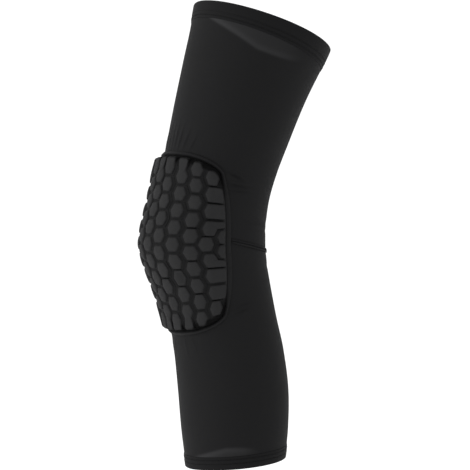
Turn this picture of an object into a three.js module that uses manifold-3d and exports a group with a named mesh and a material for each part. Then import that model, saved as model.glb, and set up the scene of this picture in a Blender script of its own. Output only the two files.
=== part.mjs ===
// A knee pad: a knitted sleeve that follows a bent leg, with a foam pad of honeycomb cells over the knee.
// Millimetres, +Z up. The knee faces -Y, and the origin is the middle of the knee, inside the sleeve.
import * as THREE from 'three';
import { mergeVertices } from 'three/addons/utils/BufferGeometryUtils.js';
import Module from 'manifold-3d';

const wasm = await Module();
wasm.setup();

// Leg form
const thighLength = 216.5;    // knee line up to the middle of the top rim
const calfLength = 219.5;     // knee line down to the middle of the bottom rim
const thighSetback = 69;      // how far the top rim's middle lies behind the knee's
const calfSetback = 34;       // the same for the bottom rim
const kneeHalfWidth = 57.5;
const kneeHalfDepth = 59.5;
const thighHalfWidth = 68;    // at the top rim
const thighHalfDepth = 78;
const calfHalfWidth = 50;     // at the bottom rim
const calfHalfDepth = 50.5;
const kneeSquareness = 0.018; // how far the knee's section swells at its corners, as a share of its radius

// Cloth
const clothWall = 1.3;
const clothGap = 0.3;         // between two pieces that meet
const thighHemDepth = 18.5;
const calfHemDepth = 12.5;
const hemProud = 0.5;         // the folded hem stands this far out of the cloth, on both faces
const hemRounding = 0.6;
const topRimLean = 20.2;      // degrees that the top rim falls towards the back
const topHemLineLean = 23;    // degrees, the same for the line under the top hem
const bottomRimLean = -5.5;   // degrees; the bottom rim rises towards the back
const seamHeight = 4.4;       // knee seam, where it crosses the leg's axis
const seamLean = 11.5;        // degrees that the knee seam falls towards the back
const seamWidth = 4.2;
const seamThickness = 1.1;
const seamClearance = 0.5;    // between the curved sleeve and the seam

// Pad
const padHalfHeight = 86.4;
const padLine = 1.7;          // height of the pad's middle row above the knee line
const padHalfAround = 76.8;   // from the front line round to the pad's edge at knee height
const padDraw = 0.132;        // share that the pad's outline narrows by towards its top and bottom
const padSpread = 1.086;      // share that the sheet is stretched to, round the knee
const padEndSpread = 0.9;     // the same share at its top and bottom
const padFan = 0.158;         // share that its rows close up by, round at the side of the knee
const padCornerAround = 43;
const padCornerHeight = 12.4;
const padThickness = 8.5;     // sleeve to the top of a cell
const padBase = 2.2;          // sheet that carries the cells
const cellFoot = 0.35;        // depth of a cell's foot in the sheet, as a share up from its underside
const padEdge = 1.4;          // the sheet's thickness at its rim
const padClearance = 0.9;     // between the curved sleeve and what lies on it
const cellRowPitch = 16.95;
const cellColumnPitch = 15.4;
const cellHeight = 14.9;
const cellWidth = 13;
const cellFlat = 7.2;         // length of a cell's level side
const cellDraft = 0.94;       // top of a cell as a share of its foot
const cellEndMargin = 1.5;    // from the pad's top and bottom edge to the cut cells
const cellSideMargin = 2.4;   // the same from its side edges
const cellCornerAround = 36.5;
const cellCornerHeight = 17;
const cellLinkWidth = 8;      // neck between two cells that run into each other
const borderWidth = 5;
const borderThickness = 1.3;

// Steps of the faceted surfaces
const turnSteps = 28;
const thighRows = 10;
const calfRows = 10;
const seamSteps = 20;
const padRings = 8;
const padSideSteps = 4;
const padCornerSteps = 5;
const padLevelSteps = 2;

// Sections of the leg. up and down are shares of the thigh's and the calf's length. back, wide and deep
// run from 0, the knee's own size, to 1, the rim's. square is a share of the knee's squareness.
const thighSections = [
  { up: 1.15, back: 1.17, wide: 1.20, deep: 1.30, square: 0.0 },
  { up: 1.00, back: 1.00, wide: 1.00, deep: 1.00, square: 0.0 },
  { up: 0.86, back: 0.83, wide: 0.79, deep: 0.78, square: 0.0 },
  { up: 0.67, back: 0.59, wide: 0.41, deep: 0.43, square: 0.0 },
  { up: 0.44, back: 0.335, wide: 0.08, deep: 0.09, square: 0.2 },
  { up: 0.33, back: 0.213, wide: -0.02, deep: -0.04, square: 0.5 },
  { up: 0.21, back: 0.106, wide: -0.05, deep: -0.13, square: 0.8 },
  { up: 0.10, back: 0.03, wide: -0.02, deep: -0.07, square: 1.0 },
];
const calfSections = [
  { down: 0.00, back: 0.00, wide: 0.00, deep: 0.00, square: 1.0 },
  { down: 0.07, back: 0.075, wide: 0.07, deep: 0.13, square: 1.0 },
  { down: 0.14, back: 0.20, wide: 0.20, deep: 0.30, square: 0.9 },
  { down: 0.23, back: 0.38, wide: 0.36, deep: 0.49, square: 0.7 },
  { down: 0.34, back: 0.575, wide: 0.47, deep: 0.59, square: 0.4 },
  { down: 0.48, back: 0.775, wide: 0.44, deep: 0.45, square: 0.1 },
  { down: 0.66, back: 0.93, wide: 0.40, deep: 0.37, square: 0.0 },
  { down: 0.84, back: 0.985, wide: 0.58, deep: 0.57, square: 0.0 },
  { down: 1.00, back: 1.00, wide: 1.00, deep: 1.00, square: 0.0 },
  { down: 1.10, back: 1.00, wide: 1.20, deep: 1.20, square: 0.0 },
];

// Columns of cells on one side of the front line. Rows count from the knee line, in pitches.
// reach says which rows run out to the pad's side edge, and neck joins the two outermost rows.
const cellColumns = [
  { column: 0, rows: [0, 1, 2, 3, 4, 5], reach: [], neck: 4 },
  { column: 1, rows: [0.5, 1.5, 2.5, 3.5, 4.5], reach: [], neck: 0 },
  { column: 2, rows: [0, 1, 2, 3, 4, 5], reach: [], neck: 4 },
  { column: 3, rows: [0.5, 1.5, 2.5, 3.5, 4.5], reach: [], neck: 0 },
  { column: 4, rows: [0, 1, 2, 3, 4], reach: [2, 3], neck: 0 },
  { column: 5, rows: [0.5], reach: [], neck: 0 },
];

const mix = THREE.MathUtils.lerp;
const leanSlope = (degrees) => Math.tan(THREE.MathUtils.degToRad(degrees));

// Heights and half sizes of the sections, from the top of the thigh to the bottom of the calf.
const legSections = [
  ...thighSections.map((row) => ({
    height: row.up * thighLength,
    back: row.back * thighSetback,
    wide: mix(kneeHalfWidth, thighHalfWidth, row.wide),
    deep: mix(kneeHalfDepth, thighHalfDepth, row.deep),
    square: row.square * kneeSquareness,
  })),
  ...calfSections.map((row) => ({
    height: -row.down * calfLength,
    back: row.back * calfSetback,
    wide: mix(kneeHalfWidth, calfHalfWidth, row.wide),
    deep: mix(kneeHalfDepth, calfHalfDepth, row.deep),
    square: row.square * kneeSquareness,
  })),
];

// One size of the leg at any height, on a smooth curve through the sections.
function legSize(height, name) {
  const last = legSections.length - 2;
  let at = legSections.findIndex((row) => row.height <= height) - 1;
  if (at < 0) at = height > 0 ? 0 : last;
  const rows = [-1, 0, 1, 2].map((step) => legSections[THREE.MathUtils.clamp(at + step, 0, last + 1)]);
  const span = rows[2].height - rows[1].height;
  const place = (height - rows[1].height) / span;
  const slope = (a, b) => (b[name] - a[name]) / (b.height - a.height);
  const start = slope(rows[0], rows[2]) * span;
  const end = slope(rows[1], rows[3]) * span;
  const rise = rows[2][name] - rows[1][name];
  const bend = start * (1 - place) ** 2 - end * place * (1 - place);
  return rows[1][name] + rise * place * place * (3 - 2 * place) + bend * place;
}

// Point of the leg's surface. turn is the angle from the front line towards +X, and lift the distance out.
function legPoint(turn, height, lift) {
  const swell = 1 - legSize(height, 'square') * Math.cos(4 * turn);
  return new THREE.Vector3(
    (legSize(height, 'wide') * swell + lift) * Math.sin(turn),
    legSize(height, 'back') - (legSize(height, 'deep') * swell + lift) * Math.cos(turn),
    height,
  );
}

// Height at which a leaning cut, crossing the leg's axis at middle, passes a given turn.
function cutHeight(turn, middle, degrees) {
  const axis = legSize(middle, 'back');
  let height = middle;
  for (let round = 0; round < 12; round += 1) {
    height = middle - leanSlope(degrees) * (legPoint(turn, height, 0).y - axis);
  }
  return height;
}

// Closed surface through loops of points. The loops run round in a ring, or end in two flat caps.
function loft(loops, ring) {
  const points = [];
  const triangles = [];
  const count = loops[0].length;
  loops.forEach((loop) => loop.forEach((point) => points.push(point.x, point.y, point.z)));
  const spans = ring ? loops.length : loops.length - 1;
  for (let row = 0; row < spans; row += 1) {
    const next = (row + 1) % loops.length;
    for (let step = 0; step < count; step += 1) {
      const after = (step + 1) % count;
      const a = row * count + step;
      const b = row * count + after;
      const c = next * count + after;
      const d = next * count + step;
      triangles.push(a, b, c, a, c, d);
    }
  }
  if (!ring) {
    const top = (loops.length - 1) * count;
    for (let step = 1; step < count - 1; step += 1) {
      triangles.push(0, step + 1, step);
      triangles.push(top, top + step, top + step + 1);
    }
  }
  return closedGeometry(points, triangles);
}

// Geometry with shared corners merged and the triangles that collapsed left out.
function closedGeometry(points, triangles) {
  const raw = new THREE.BufferGeometry();
  raw.setAttribute('position', new THREE.Float32BufferAttribute(points, 3));
  raw.setIndex(triangles);
  const merged = mergeVertices(raw, 1e-3);
  const kept = [];
  for (let i = 0; i < merged.index.count; i += 3) {
    const [a, b, c] = merged.index.array.slice(i, i + 3);
    if (a !== b && b !== c && c !== a) kept.push(a, b, c);
  }
  merged.setIndex(kept);
  return merged;
}

function turnedOut(geometry) {
  if (solidOf(geometry).volume() > 0) return geometry;
  const index = geometry.index.array;
  for (let i = 0; i < index.length; i += 3) {
    [index[i + 1], index[i + 2]] = [index[i + 2], index[i + 1]];
  }
  return geometry;
}

function solidOf(geometry) {
  return new wasm.Manifold(new wasm.Mesh({
    numProp: 3,
    vertProperties: new Float32Array(geometry.attributes.position.array),
    triVerts: new Uint32Array(geometry.index.array),
  }));
}

function joined(geometries) {
  const mesh = wasm.Manifold.union(geometries.map(solidOf)).getMesh();
  const geometry = new THREE.BufferGeometry();
  geometry.setAttribute('position', new THREE.BufferAttribute(mesh.vertProperties, 3));
  geometry.setIndex(new THREE.BufferAttribute(mesh.triVerts, 1));
  return geometry;
}

// Wall round the leg between two leaning cuts. profile gives, along the wall from 0 to 1, its two lifts.
function legWall(lower, upper, profile) {
  const loops = [];
  for (let step = 0; step < turnSteps; step += 1) {
    const turn = (step / turnSteps) * 2 * Math.PI;
    const bottom = cutHeight(turn, lower.middle, lower.lean);
    const top = cutHeight(turn, upper.middle, upper.lean);
    const outside = profile.map((row) => legPoint(turn, mix(bottom, top, row.along), row.outside));
    const inside = profile.map((row) => legPoint(turn, mix(bottom, top, row.along), row.inside));
    loops.push([...outside, ...inside.reverse()]);
  }
  return turnedOut(loft(loops, true));
}

function evenProfile(rows) {
  return Array.from({ length: rows + 1 }, (_, row) => ({
    along: row / rows,
    outside: 0,
    inside: -clothWall,
  }));
}

// Folded band: proud of the cloth on both faces and rounded at the rim, which lies at rimAt, 0 or 1.
function hemProfile(depth, rimAt) {
  const round = hemRounding / depth;
  const rows = [
    { along: rimAt, outside: hemProud - hemRounding, inside: hemRounding - hemProud - clothWall },
    { along: Math.abs(rimAt - round), outside: hemProud, inside: -clothWall - hemProud },
    { along: 0.5, outside: hemProud, inside: -clothWall - hemProud },
    { along: 1 - rimAt, outside: hemProud, inside: -clothWall - hemProud },
  ];
  return rows.sort((a, b) => a.along - b.along);
}

// Sizes of the two outlines on the flat pad: its own, and the line at which its cells end.
const padEdgeLine = {
  halfHeight: padHalfHeight,
  halfAround: padHalfAround,
  cornerAround: padCornerAround,
  cornerHeight: padCornerHeight,
};
const cellEdgeLine = {
  halfHeight: padHalfHeight - cellEndMargin,
  halfAround: padHalfAround - cellSideMargin,
  cornerAround: cellCornerAround,
  cornerHeight: cellCornerHeight,
};

// Half width of an outline at a height, measured round the leg at the knee's size.
function lineHalfWidth(line, height) {
  const level = Math.abs(height);
  const side = line.halfAround * (1 - padDraw * (level / line.halfHeight) ** 2);
  const into = (level - (line.halfHeight - line.cornerHeight)) / line.cornerHeight;
  if (into <= 0) return side;
  return side - line.cornerAround * (1 - Math.sqrt(Math.max(0, 1 - into * into)));
}

// An outline as points {around, height}, once round from its +X side.
function lineRound(line) {
  const quarter = [];
  const cornerStart = line.halfHeight - line.cornerHeight;
  for (let step = 0; step < padSideSteps; step += 1) {
    const height = (step / padSideSteps) * cornerStart;
    quarter.push({ around: lineHalfWidth(line, height), height });
  }
  for (let step = 0; step <= padCornerSteps; step += 1) {
    const angle = (step / padCornerSteps) * (Math.PI / 2);
    const height = cornerStart + line.cornerHeight * Math.sin(angle);
    quarter.push({ around: lineHalfWidth(line, height), height });
  }
  const levelHalf = lineHalfWidth(line, line.halfHeight);
  for (let step = 1; step < padLevelSteps; step += 1) {
    quarter.push({ around: levelHalf * (1 - step / padLevelSteps), height: line.halfHeight });
  }
  const left = quarter.slice(1).reverse().map((p) => ({ around: -p.around, height: p.height }));
  const upper = [...quarter, { around: 0, height: line.halfHeight }, ...left];
  const lower = [...upper].reverse().map((p) => ({ around: p.around, height: -p.height }));
  return [...upper, { around: -line.halfAround, height: 0 }, ...lower.slice(0, -1)];
}

// Outline moved outwards by a distance, inwards where it is negative.
function grown(outline, distance) {
  const count = outline.length;
  return outline.map((point, at) => {
    const before = outline[(at + count - 1) % count];
    const after = outline[(at + 1) % count];
    const dx = after.around - before.around;
    const dy = after.height - before.height;
    const length = Math.hypot(dx, dy);
    return {
      around: point.around + (dy / length) * distance,
      height: point.height - (dx / length) * distance,
    };
  });
}

// Lays a place of the flat pad on the leg. The sheet draws together at its ends and round the sides.
function padPoint(place, lift) {
  const end = (place.height / padHalfHeight) ** 2;
  const turn = (place.around / kneeHalfDepth) * mix(padSpread, padEndSpread, end);
  const height = padLine + place.height * (1 - padFan * (1 - Math.cos(turn)));
  return legPoint(turn, height, lift);
}

// Sheet under the cells: rings of the outline shrunk towards its middle, on its two faces.
function padSheet(outline) {
  const loops = outline.map((point) => {
    const under = [];
    const over = [];
    for (let ring = 0; ring <= padRings; ring += 1) {
      const share = ring / padRings;
      const place = { around: point.around * share, height: point.height * share };
      under.push(padPoint(place, padClearance));
      over.push(padPoint(place, ring === padRings ? padEdge : padBase));
    }
    return [...over, ...under.reverse()];
  });
  return turnedOut(loft(loops, true));
}

// Part of a convex shape that lies inside a convex outline.
function clipped(shape, outline) {
  let kept = shape;
  outline.forEach((from, at) => {
    const to = outline[(at + 1) % outline.length];
    const side = (p) => (to.around - from.around) * (p.height - from.height)
      - (to.height - from.height) * (p.around - from.around);
    const next = [];
    kept.forEach((point, i) => {
      const after = kept[(i + 1) % kept.length];
      const here = side(point);
      const there = side(after);
      if (here >= 0) next.push(point);
      if (here * there < 0) {
        const share = here / (here - there);
        next.push({
          around: mix(point.around, after.around, share),
          height: mix(point.height, after.height, share),
        });
      }
    });
    kept = next;
  });
  return withoutShortSides(kept);
}

function withoutShortSides(shape) {
  const shortest = cellHeight / 20;
  return shape.filter((point, i) => {
    const after = shape[(i + 1) % shape.length];
    return Math.hypot(after.around - point.around, after.height - point.height) > shortest;
  });
}

// Level-sided hexagon, or one that runs out square to the pad's edge.
function cellShape(column, row, reachesEdge) {
  const middle = column * cellColumnPitch;
  const level = row * cellRowPitch;
  const flat = cellFlat / 2;
  const half = cellHeight / 2;
  const corner = cellWidth / 2;
  const out = reachesEdge ? cellColumnPitch : flat;
  const tip = reachesEdge ? cellColumnPitch : corner;
  const shape = [[tip, 0], [out, half], [-flat, half], [-corner, 0], [-flat, -half], [out, -half]];
  return shape.map(([around, height]) => ({ around: middle + around, height: level + height }));
}

function neckShape(column, row) {
  const middle = column * cellColumnPitch;
  const half = cellLinkWidth / 2;
  const low = row * cellRowPitch;
  const high = (row + 1) * cellRowPitch;
  const shape = [[half, low], [half, high], [-half, high], [-half, low]];
  return shape.map(([around, height]) => ({ around: middle + around, height }));
}

function mirrored(shape, acrossFront, acrossKnee) {
  const turned = shape.map((point) => ({
    around: acrossFront ? -point.around : point.around,
    height: acrossKnee ? -point.height : point.height,
  }));
  return acrossFront === acrossKnee ? turned : turned.reverse();
}

// Every cell's outline in one quarter of the pad, then in all four.
function cellShapes() {
  const field = lineRound(cellEdgeLine);
  const shapes = [];
  cellColumns.forEach(({ column, rows, reach, neck }) => {
    const quarter = rows.map((row) => ({ row, shape: cellShape(column, row, reach.includes(row)) }));
    if (neck) quarter.push({ row: neck, shape: neckShape(column, neck) });
    quarter.forEach(({ row, shape }) => {
      (column ? [false, true] : [false]).forEach((acrossFront) => {
        (row ? [false, true] : [false]).forEach((acrossKnee) => {
          const cut = clipped(mirrored(shape, acrossFront, acrossKnee), field);
          if (cut.length > 2) shapes.push(cut);
        });
      });
    });
  });
  return shapes;
}

// A cell stands in the sheet and narrows towards its top.
function cell(shape) {
  const middle = {
    around: shape.reduce((sum, p) => sum + p.around, 0) / shape.length,
    height: shape.reduce((sum, p) => sum + p.height, 0) / shape.length,
  };
  const foot = shape.map((point) => padPoint(point, mix(padClearance, padBase, cellFoot)));
  const top = shape.map((point) => padPoint({
    around: mix(middle.around, point.around, cellDraft),
    height: mix(middle.height, point.height, cellDraft),
  }, padThickness));
  return turnedOut(loft([foot, top], false));
}

// Flat strip sewn round the pad, from just outside its edge.
function borderStrip(outline) {
  const near = grown(outline, clothGap);
  const far = grown(outline, clothGap + borderWidth);
  const low = padClearance;
  const high = padClearance + borderThickness;
  const loops = near.map((point, at) => [
    padPoint(point, low),
    padPoint(far[at], low),
    padPoint(far[at], mix(low, high, 0.6)),
    padPoint(point, high),
  ]);
  return turnedOut(loft(loops, true));
}

// Flat seam round the back of the knee, from one side of the pad's border to the other.
function backSeam() {
  const padSide = (padHalfAround + clothGap + borderWidth) * padSpread;
  const start = (padSide + clothGap) / kneeHalfDepth;
  const end = 2 * Math.PI - start;
  const low = seamClearance;
  const high = seamClearance + seamThickness;
  const loops = [];
  for (let step = 0; step <= seamSteps; step += 1) {
    const turn = mix(start, end, step / seamSteps);
    const height = cutHeight(turn, seamHeight, seamLean);
    const edge = seamWidth / 2;
    loops.push([
      legPoint(turn, height - edge, low),
      legPoint(turn, height - edge, mix(low, high, 0.7)),
      legPoint(turn, height, high),
      legPoint(turn, height + edge, mix(low, high, 0.7)),
      legPoint(turn, height + edge, low),
    ]);
  }
  return turnedOut(loft(loops, false));
}

const knit = new THREE.MeshStandardMaterial({ color: 0x212122, roughness: 0.85, metalness: 0 });
const hemKnit = new THREE.MeshStandardMaterial({ color: 0x1c1c1d, roughness: 0.9, metalness: 0 });
const padCloth = new THREE.MeshStandardMaterial({ color: 0x323233, roughness: 0.7, metalness: 0 });
const borderCloth = new THREE.MeshStandardMaterial({ color: 0x242425, roughness: 0.8, metalness: 0 });
const thread = new THREE.MeshStandardMaterial({ color: 0x161617, roughness: 0.9, metalness: 0 });

const kneePad = new THREE.Group();
kneePad.name = 'knee_pad';

function addPiece(name, geometry, material) {
  const piece = new THREE.Mesh(geometry, material);
  piece.name = name;
  kneePad.add(piece);
}

const topRim = { middle: thighLength, lean: topRimLean };
const topHemLine = { middle: thighLength - thighHemDepth, lean: topHemLineLean };
const thighTop = { middle: topHemLine.middle - clothGap, lean: topHemLineLean };
const thighFoot = { middle: seamHeight + clothGap / 2, lean: seamLean };
const calfTop = { middle: seamHeight - clothGap / 2, lean: seamLean };
const calfFoot = { middle: calfHemDepth - calfLength + clothGap, lean: bottomRimLean };
const bottomHemLine = { middle: calfHemDepth - calfLength, lean: bottomRimLean };
const bottomRim = { middle: -calfLength, lean: bottomRimLean };

addPiece('thigh_panel', legWall(thighFoot, thighTop, evenProfile(thighRows)), knit);
addPiece('calf_panel', legWall(calfFoot, calfTop, evenProfile(calfRows)), knit.clone());
addPiece('thigh_hem', legWall(topHemLine, topRim, hemProfile(thighHemDepth, 1)), hemKnit);
addPiece('calf_hem', legWall(bottomRim, bottomHemLine, hemProfile(calfHemDepth, 0)), hemKnit.clone());
addPiece('back_seam', backSeam(), thread);

const outline = lineRound(padEdgeLine);
addPiece('hex_pad', joined([padSheet(outline), ...cellShapes().map(cell)]), padCloth);
addPiece('pad_border', borderStrip(outline), borderCloth);

export default kneePad;
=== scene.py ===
import math

import bpy
import numpy as np
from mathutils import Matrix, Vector


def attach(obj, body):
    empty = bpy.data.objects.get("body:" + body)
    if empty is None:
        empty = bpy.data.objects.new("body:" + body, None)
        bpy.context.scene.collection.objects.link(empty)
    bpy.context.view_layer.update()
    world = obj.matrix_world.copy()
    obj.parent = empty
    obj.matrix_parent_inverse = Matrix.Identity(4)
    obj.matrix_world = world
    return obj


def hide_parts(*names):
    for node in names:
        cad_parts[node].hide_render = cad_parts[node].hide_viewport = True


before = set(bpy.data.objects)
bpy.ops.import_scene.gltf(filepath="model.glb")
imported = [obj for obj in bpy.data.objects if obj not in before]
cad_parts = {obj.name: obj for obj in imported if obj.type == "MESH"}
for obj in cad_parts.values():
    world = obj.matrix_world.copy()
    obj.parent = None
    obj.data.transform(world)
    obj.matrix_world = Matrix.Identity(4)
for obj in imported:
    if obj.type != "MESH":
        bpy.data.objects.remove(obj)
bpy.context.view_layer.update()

# The looks of the knee pad: a knitted sleeve, a honeycomb pad, stitched hems and seams.
# Lengths are in millimetres, and meshOf turns them into metres. The knee faces -Y.
mm = 0.001
random = np.random.default_rng(7)

# The bent leg that the sleeve follows
leg = {
    "thighLength": 216.5,
    "calfLength": 219.5,
    "thighSetback": 69.0,
    "calfSetback": 34.0,
    "kneeHalfWidth": 57.5,
    "kneeHalfDepth": 59.5,
    "thighHalfWidth": 68.0,
    "thighHalfDepth": 78.0,
    "calfHalfWidth": 50.0,
    "calfHalfDepth": 50.5,
    "kneeSquareness": 0.018,
}

# Sections of the leg: share of the thigh's or calf's length, then back, wide and deep, which run from 0
# at the knee to 1 at the rim, and how squarish the section is
thighSections = [
    (1.15, 1.17, 1.2, 1.3, 0.0),
    (1.0, 1.0, 1.0, 1.0, 0.0),
    (0.86, 0.83, 0.79, 0.78, 0.0),
    (0.67, 0.59, 0.41, 0.43, 0.0),
    (0.44, 0.335, 0.08, 0.09, 0.2),
    (0.33, 0.213, -0.02, -0.04, 0.5),
    (0.21, 0.106, -0.05, -0.13, 0.8),
    (0.1, 0.03, -0.02, -0.07, 1.0),
]
calfSections = [
    (0.0, 0.0, 0.0, 0.0, 1.0),
    (0.07, 0.075, 0.07, 0.13, 1.0),
    (0.14, 0.2, 0.2, 0.3, 0.9),
    (0.23, 0.38, 0.36, 0.49, 0.7),
    (0.34, 0.575, 0.47, 0.59, 0.4),
    (0.48, 0.775, 0.44, 0.45, 0.1),
    (0.66, 0.93, 0.4, 0.37, 0.0),
    (0.84, 0.985, 0.58, 0.57, 0.0),
    (1.0, 1.0, 1.0, 1.0, 0.0),
    (1.1, 1.0, 1.2, 1.2, 0.0),
]

# Rims, hem lines and the knee seam: where each crosses the leg's axis, and its lean in degrees
cuts = {
    "topRim": {"middle": 216.5, "lean": 20.2},
    "topHemLine": {"middle": 198.0, "lean": 23.0},
    "kneeSeam": {"middle": 4.4, "lean": 11.5},
    "bottomHemLine": {"middle": -207.0, "lean": -5.5},
    "bottomRim": {"middle": -219.5, "lean": -5.5},
}
cutRounds = 12    # rounds that bring the height of a cut onto the leg's curve
endless = 1e9     # further than any distance here


def mix(a, b, share):
    return a + (b - a) * share


def eased(low, high, value):
    share = np.clip((value - low) / (high - low), 0, 1)
    return share * share * (3 - 2 * share)


def swell(value, width):
    return np.exp(-(value / width) ** 2)


def legTable():
    rows = []
    for part, sign, sections in (("thigh", 1, thighSections), ("calf", -1, calfSections)):
        for share, back, wide, deep, square in sections:
            rows.append((
                sign * share * leg[part + "Length"],
                back * leg[part + "Setback"],
                mix(leg["kneeHalfWidth"], leg[part + "HalfWidth"], wide),
                mix(leg["kneeHalfDepth"], leg[part + "HalfDepth"], deep),
                square * leg["kneeSquareness"],
            ))
    return np.array(rows[::-1])


legRows = legTable()  # from the lowest section up: height, back, wide, deep, square
legColumns = {"back": 1, "wide": 2, "deep": 3, "square": 4}


# One size of the leg at any height, on a smooth curve through the sections
def legSize(height, name):
    heights = legRows[:, 0]
    sizes = legRows[:, legColumns[name]]
    order = np.arange(len(heights))
    before = np.maximum(order - 1, 0)
    after = np.minimum(order + 1, len(heights) - 1)
    slopes = (sizes[after] - sizes[before]) / (heights[after] - heights[before])
    at = np.clip(np.searchsorted(heights, height) - 1, 0, len(heights) - 2)
    span = heights[at + 1] - heights[at]
    place = (height - heights[at]) / span
    rise = sizes[at + 1] - sizes[at]
    bend = slopes[at] * span * (1 - place) ** 2 - slopes[at + 1] * span * place * (1 - place)
    return sizes[at] + rise * place * place * (3 - 2 * place) + bend * place


# Points of the leg's surface; turn runs from the front line towards +X, and lift is the distance out
def legPoint(turn, height, lift):
    turn, height, lift = np.broadcast_arrays(turn, height, lift)
    squarish = 1 - legSize(height, "square") * np.cos(4 * turn)
    across = (legSize(height, "wide") * squarish + lift) * np.sin(turn)
    deep = legSize(height, "back") - (legSize(height, "deep") * squarish + lift) * np.cos(turn)
    return np.stack([across, deep, height], axis=-1)


def outward(turn):
    return np.stack([np.sin(turn), -np.cos(turn), np.zeros_like(turn)], axis=-1)


def cutHeight(turn, cut):
    axis = legSize(np.float64(cut["middle"]), "back")
    slope = math.tan(math.radians(cut["lean"]))
    height = np.full_like(turn, cut["middle"])
    for step in range(cutRounds):
        height = cut["middle"] - slope * (legPoint(turn, height, 0.0)[..., 1] - axis)
    return height


# A mesh object from points in millimetres; corners are the cloth's places for the weave, face by face
def meshOf(name, points, faces, corners=None, marks=None):
    points = np.asarray(points, float).reshape(-1, 3)
    mesh = bpy.data.meshes.new(name)
    mesh.from_pydata((points * mm).tolist(), [], faces)
    if corners is not None:
        layer = mesh.uv_layers.new(name="cloth")
        layer.data.foreach_set("uv", (np.asarray(corners) * mm).astype(np.float32).ravel())
    for label, values in (marks or {}).items():
        attribute = mesh.attributes.new(label, "FLOAT", "POINT")
        attribute.data.foreach_set("value", np.asarray(values, np.float32).ravel())
    mesh.validate()
    mesh.update()
    mesh.shade_smooth()
    piece = bpy.data.objects.new(name, mesh)
    bpy.context.scene.collection.objects.link(piece)
    return piece


# Quads over a grid of points that closes on itself in both directions; place has one more row and column
def ringFaces(points, place):
    rows, columns = points.shape[:2]
    row, column = np.meshgrid(np.arange(rows), np.arange(columns), indexing="ij")
    steps = [(row, column), (row + 1, column), (row + 1, column + 1), (row, column + 1)]
    faces = np.stack([(r % rows) * columns + c % columns for r, c in steps], axis=-1).reshape(-1, 4)
    corners = np.stack([place[r, c] for r, c in steps], axis=2).reshape(-1, 4, 2)
    flat = points.reshape(-1, 3)
    a, b, c, d = (flat[faces[:, k]] for k in range(4))
    volume = np.einsum("ij,ij->i", a, np.cross(b, c)).sum() + np.einsum("ij,ij->i", a, np.cross(c, d)).sum()
    if volume < 0:
        faces = faces[:, ::-1]
        corners = corners[:, ::-1]
    return faces, corners


def ringMesh(name, points, place, marks=None):
    faces, corners = ringFaces(points, place)
    return meshOf(name, points, faces.tolist(), corners, marks)


# Many short threads as small tubes with closed ends; centres and out hold a row of places per thread
def threadMesh(name, centres, out, radius, sides=6, taper=0.85):
    count, steps = centres.shape[:2]
    along = np.gradient(centres, axis=1)
    along /= np.linalg.norm(along, axis=-1, keepdims=True)
    side = np.cross(along, out)
    side /= np.linalg.norm(side, axis=-1, keepdims=True)
    out = np.cross(side, along)
    thin = np.sqrt(np.clip(1 - np.linspace(-1, 1, steps) ** 2 * taper, 0, 1)) * radius
    angle = np.arange(sides) / sides * 2 * math.pi
    ring = (
        np.cos(angle)[None, None, :, None] * out[:, :, None, :]
        + np.sin(angle)[None, None, :, None] * side[:, :, None, :]
    )
    points = centres[:, :, None, :] + ring * thin[None, :, None, None]
    faces = []
    for thread in range(count):
        start = thread * steps * sides
        for step in range(steps - 1):
            low = start + step * sides
            for k in range(sides):
                after = (k + 1) % sides
                faces.append((low + k, low + after, low + sides + after, low + sides + k))
        faces.append(tuple(start + k for k in reversed(range(sides))))
        faces.append(tuple(start + (steps - 1) * sides + k for k in range(sides)))
    return meshOf(name, points, faces)


# What all the cloths share
weave = {
    "stitchLean": 1.2,      # how far the arms of a stitch climb
    "stitchHeight": 0.0002,
    "fleckSize": 900.0,
    "cloudFloor": 0.35,     # the noise counts from here up
    "cloudGain": 2.0,
    "fleckFloor": 0.4,
    "fleckGain": 1.5,
    # painted shade in the gaps between the stitches
    "gapShade": 0.25,        # how much the gaps between the stitches darken
    "rough": 0.72,
    "roughSpread": 0.1,
}


def newGroup(name, inputs, outputs):
    group = bpy.data.node_groups.new(name, "ShaderNodeTree")
    for label, kind, value in inputs:
        socket = group.interface.new_socket(name=label, in_out="INPUT", socket_type="NodeSocket" + kind)
        if value is not None:
            socket.default_value = value
    for label, kind in outputs:
        group.interface.new_socket(name=label, in_out="OUTPUT", socket_type="NodeSocket" + kind)
    return group, group.nodes.new("NodeGroupInput"), group.nodes.new("NodeGroupOutput")


def addNode(tree, kind, **values):
    node = tree.nodes.new("ShaderNode" + kind)
    for key, value in values.items():
        setattr(node, key, value)
    return node


def setInputs(node, values):
    for label, value in values.items():
        node.inputs[label].default_value = value


# Feeds an input of a node from a socket, or sets it to a plain value
def feed(tree, node, slot, value):
    if isinstance(value, bpy.types.NodeSocket):
        tree.links.new(value, node.inputs[slot])
    else:
        node.inputs[slot].default_value = value


def calc(tree, operation, *inputs):
    node = addNode(tree, "Math", operation=operation)
    for slot, value in enumerate(inputs):
        feed(tree, node, slot, value)
    return node.outputs[0]


def blendColour(tree, share, first, second):
    node = addNode(tree, "Mix", data_type="RGBA")
    for slot, value in ((0, share), (6, first), (7, second)):    # where a Mix node keeps its colours
        feed(tree, node, slot, value)
    return node.outputs[2]


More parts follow.
